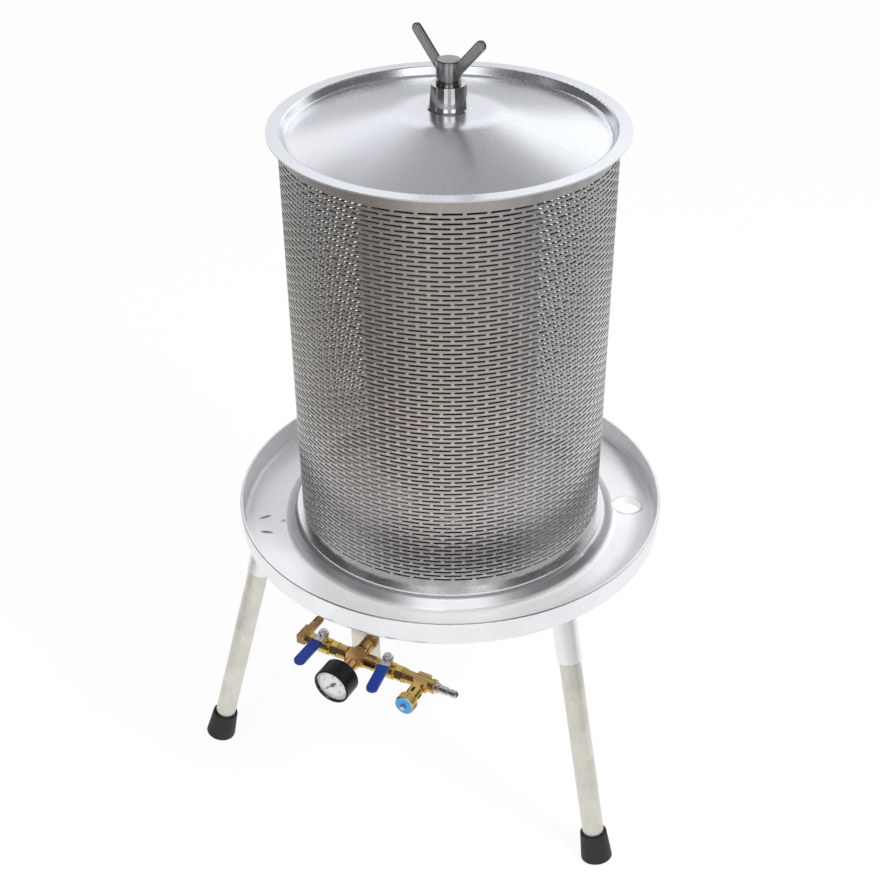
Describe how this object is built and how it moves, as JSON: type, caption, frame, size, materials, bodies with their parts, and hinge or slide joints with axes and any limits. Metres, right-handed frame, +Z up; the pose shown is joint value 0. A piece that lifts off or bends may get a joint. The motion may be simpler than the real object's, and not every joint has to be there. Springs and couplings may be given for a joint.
{
  "type": "juice press",
  "caption": "Free-standing bladder juice press: slotted steel basket on a drip tray with splayed legs, lid held by a wing nut, brass valve manifold with a gauge.",
  "frame": {"origin": "on the floor under the press axis", "axes": "+Z up along the press axis, -Y towards the gauge, +X along the manifold towards the water inlet"},
  "size_m": [0.6625, 0.7159, 1.1023],
  "materials": {
    "tray_steel": "satin stainless steel",
    "leg_steel": "dull drawn stainless tube",
    "socket_steel": "satin stainless steel",
    "foot_rubber": "matt black rubber",
    "basket_steel": "slotted stainless sheet",
    "lid_steel": "pressed stainless sheet",
    "polished_steel": "polished stainless steel",
    "dark_washer": "dark slip washer",
    "plain_steel": "turned stainless steel",
    "bladder_rubber": "black rubber membrane",
    "feed_steel": "stainless pipe",
    "fitting_brass": "dull cast brass",
    "valve_brass": "turned brass",
    "valve_chrome": "chromed brass",
    "seat_plastic": "white sliding plastic",
    "zinc_steel": "zinc plated steel",
    "blue_grip": "deep blue dipped plastic",
    "badge_blue": "sky blue plastic",
    "gauge_black": "black plastic",
    "dial_white": "printed white dial",
    "gauge_glass": "clear window"
  },
  "bodies": {
    "stand": {"drip_tray": "tray_steel", "juice_spout": "tray_steel", "base_flange": "tray_steel", "leg_left": "leg_steel", "leg_right": "leg_steel", "leg_rear": "leg_steel", "manifold_bracket": "leg_steel", "leg_socket_left": "socket_steel", "leg_socket_right": "socket_steel", "leg_socket_rear": "socket_steel", "leg_foot_left": "foot_rubber", "leg_foot_right": "foot_rubber", "leg_foot_rear": "foot_rubber", "base_gasket": "foot_rubber", "spindle": "polished_steel", "base_nut": "plain_steel", "core_tube": "plain_steel", "bladder_clamps": "plain_steel", "bladder": "bladder_rubber", "feed_pipe": "feed_steel", "feed_elbow": "feed_steel", "cross_fitting": "fitting_brass", "tee_fitting": "fitting_brass", "drain_elbow": "fitting_brass", "drain_tail": "fitting_brass", "rear_nipple": "fitting_brass", "gauge_socket": "fitting_brass", "drain_valve_body": "valve_brass", "drain_valve_gland": "valve_brass", "supply_valve_body": "valve_brass", "supply_valve_gland": "valve_brass", "relief_body": "valve_brass", "bourdon_tube": "valve_brass", "drain_valve_seats": "seat_plastic", "supply_valve_seats": "seat_plastic", "inlet_plug": "zinc_steel", "relief_spring": "zinc_steel", "gauge_case": "gauge_black", "gauge_dial": "dial_white", "gauge_lens": "gauge_glass"},
    "basket": {"basket_wall": "basket_steel", "basket_base_ring": "basket_steel"},
    "lid": {"lid_pan": "lid_steel", "lid_hub": "polished_steel"},
    "nut_washer": {"lid_washer": "dark_washer"},
    "wing_nut": {"wing_nut": "polished_steel"},
    "drain_lever": {"drain_valve_ball": "valve_chrome", "drain_valve_stem": "zinc_steel", "drain_valve_lever": "zinc_steel", "drain_valve_grip": "blue_grip", "drain_valve_nut": "zinc_steel"},
    "supply_lever": {"supply_valve_ball": "valve_chrome", "supply_valve_stem": "zinc_steel", "supply_valve_lever": "zinc_steel", "supply_valve_grip": "blue_grip", "supply_valve_nut": "zinc_steel"},
    "gauge_pointer": {"gauge_pointer": "gauge_black"},
    "relief_stem": {"relief_stem": "zinc_steel"},
    "relief_cap": {"relief_cap": "valve_brass", "relief_badge": "badge_blue"}
  },
  "joints": [
    {"name": "basket_lift", "type": "slide", "parent": "stand", "child": "basket", "axis": [0, 0, 1], "range_m": [0, 0.65]},
    {"name": "lid_lift", "type": "slide", "parent": "basket", "child": "lid", "axis": [0, 0, 1], "range_m": [0, 0.12]},
    {"name": "wing_nut_rise", "type": "slide", "parent": "lid", "child": "nut_washer", "axis": [0, 0, 1], "range_m": [0, 0.0201]},
    {"name": "wing_nut_turn", "type": "hinge", "parent": "nut_washer", "child": "wing_nut", "pos_m": [0, 0, 1.05], "axis": [0, 0, 1], "range_deg": [0, 2880]},
    {"name": "drain_lever", "type": "hinge", "parent": "stand", "child": "drain_lever", "pos_m": [-0.0525, -0.264, 0.335], "axis": [0, 0, -1], "range_deg": [0, 90]},
    {"name": "supply_lever", "type": "hinge", "parent": "stand", "child": "supply_lever", "pos_m": [0.049, -0.264, 0.335], "axis": [0, 0, 1], "range_deg": [-10, 80]},
    {"name": "gauge_pointer", "type": "hinge", "parent": "stand", "child": "gauge_pointer", "pos_m": [0, -0.32, 0.321], "axis": [0, 1, 0], "range_deg": [0, 270], "stiffness_Nm_per_rad": 0.0002},
    {"name": "relief_lift", "type": "slide", "parent": "stand", "child": "relief_stem", "axis": [0, -1, 0], "range_m": [0, 0.003], "stiffness_N_per_m": 4000, "springref_m": -0.003, "deforming": ["relief_spring"]},
    {"name": "relief_cap_turn", "type": "hinge", "parent": "relief_stem", "child": "relief_cap", "pos_m": [0.102, -0.307, 0.321], "axis": [0, -1, 0], "continuous": true}
  ],
  "couplings": [
    {"joint": "wing_nut_rise", "follows": "wing_nut_turn", "m_per_rad": 0.00039789}
  ]
}
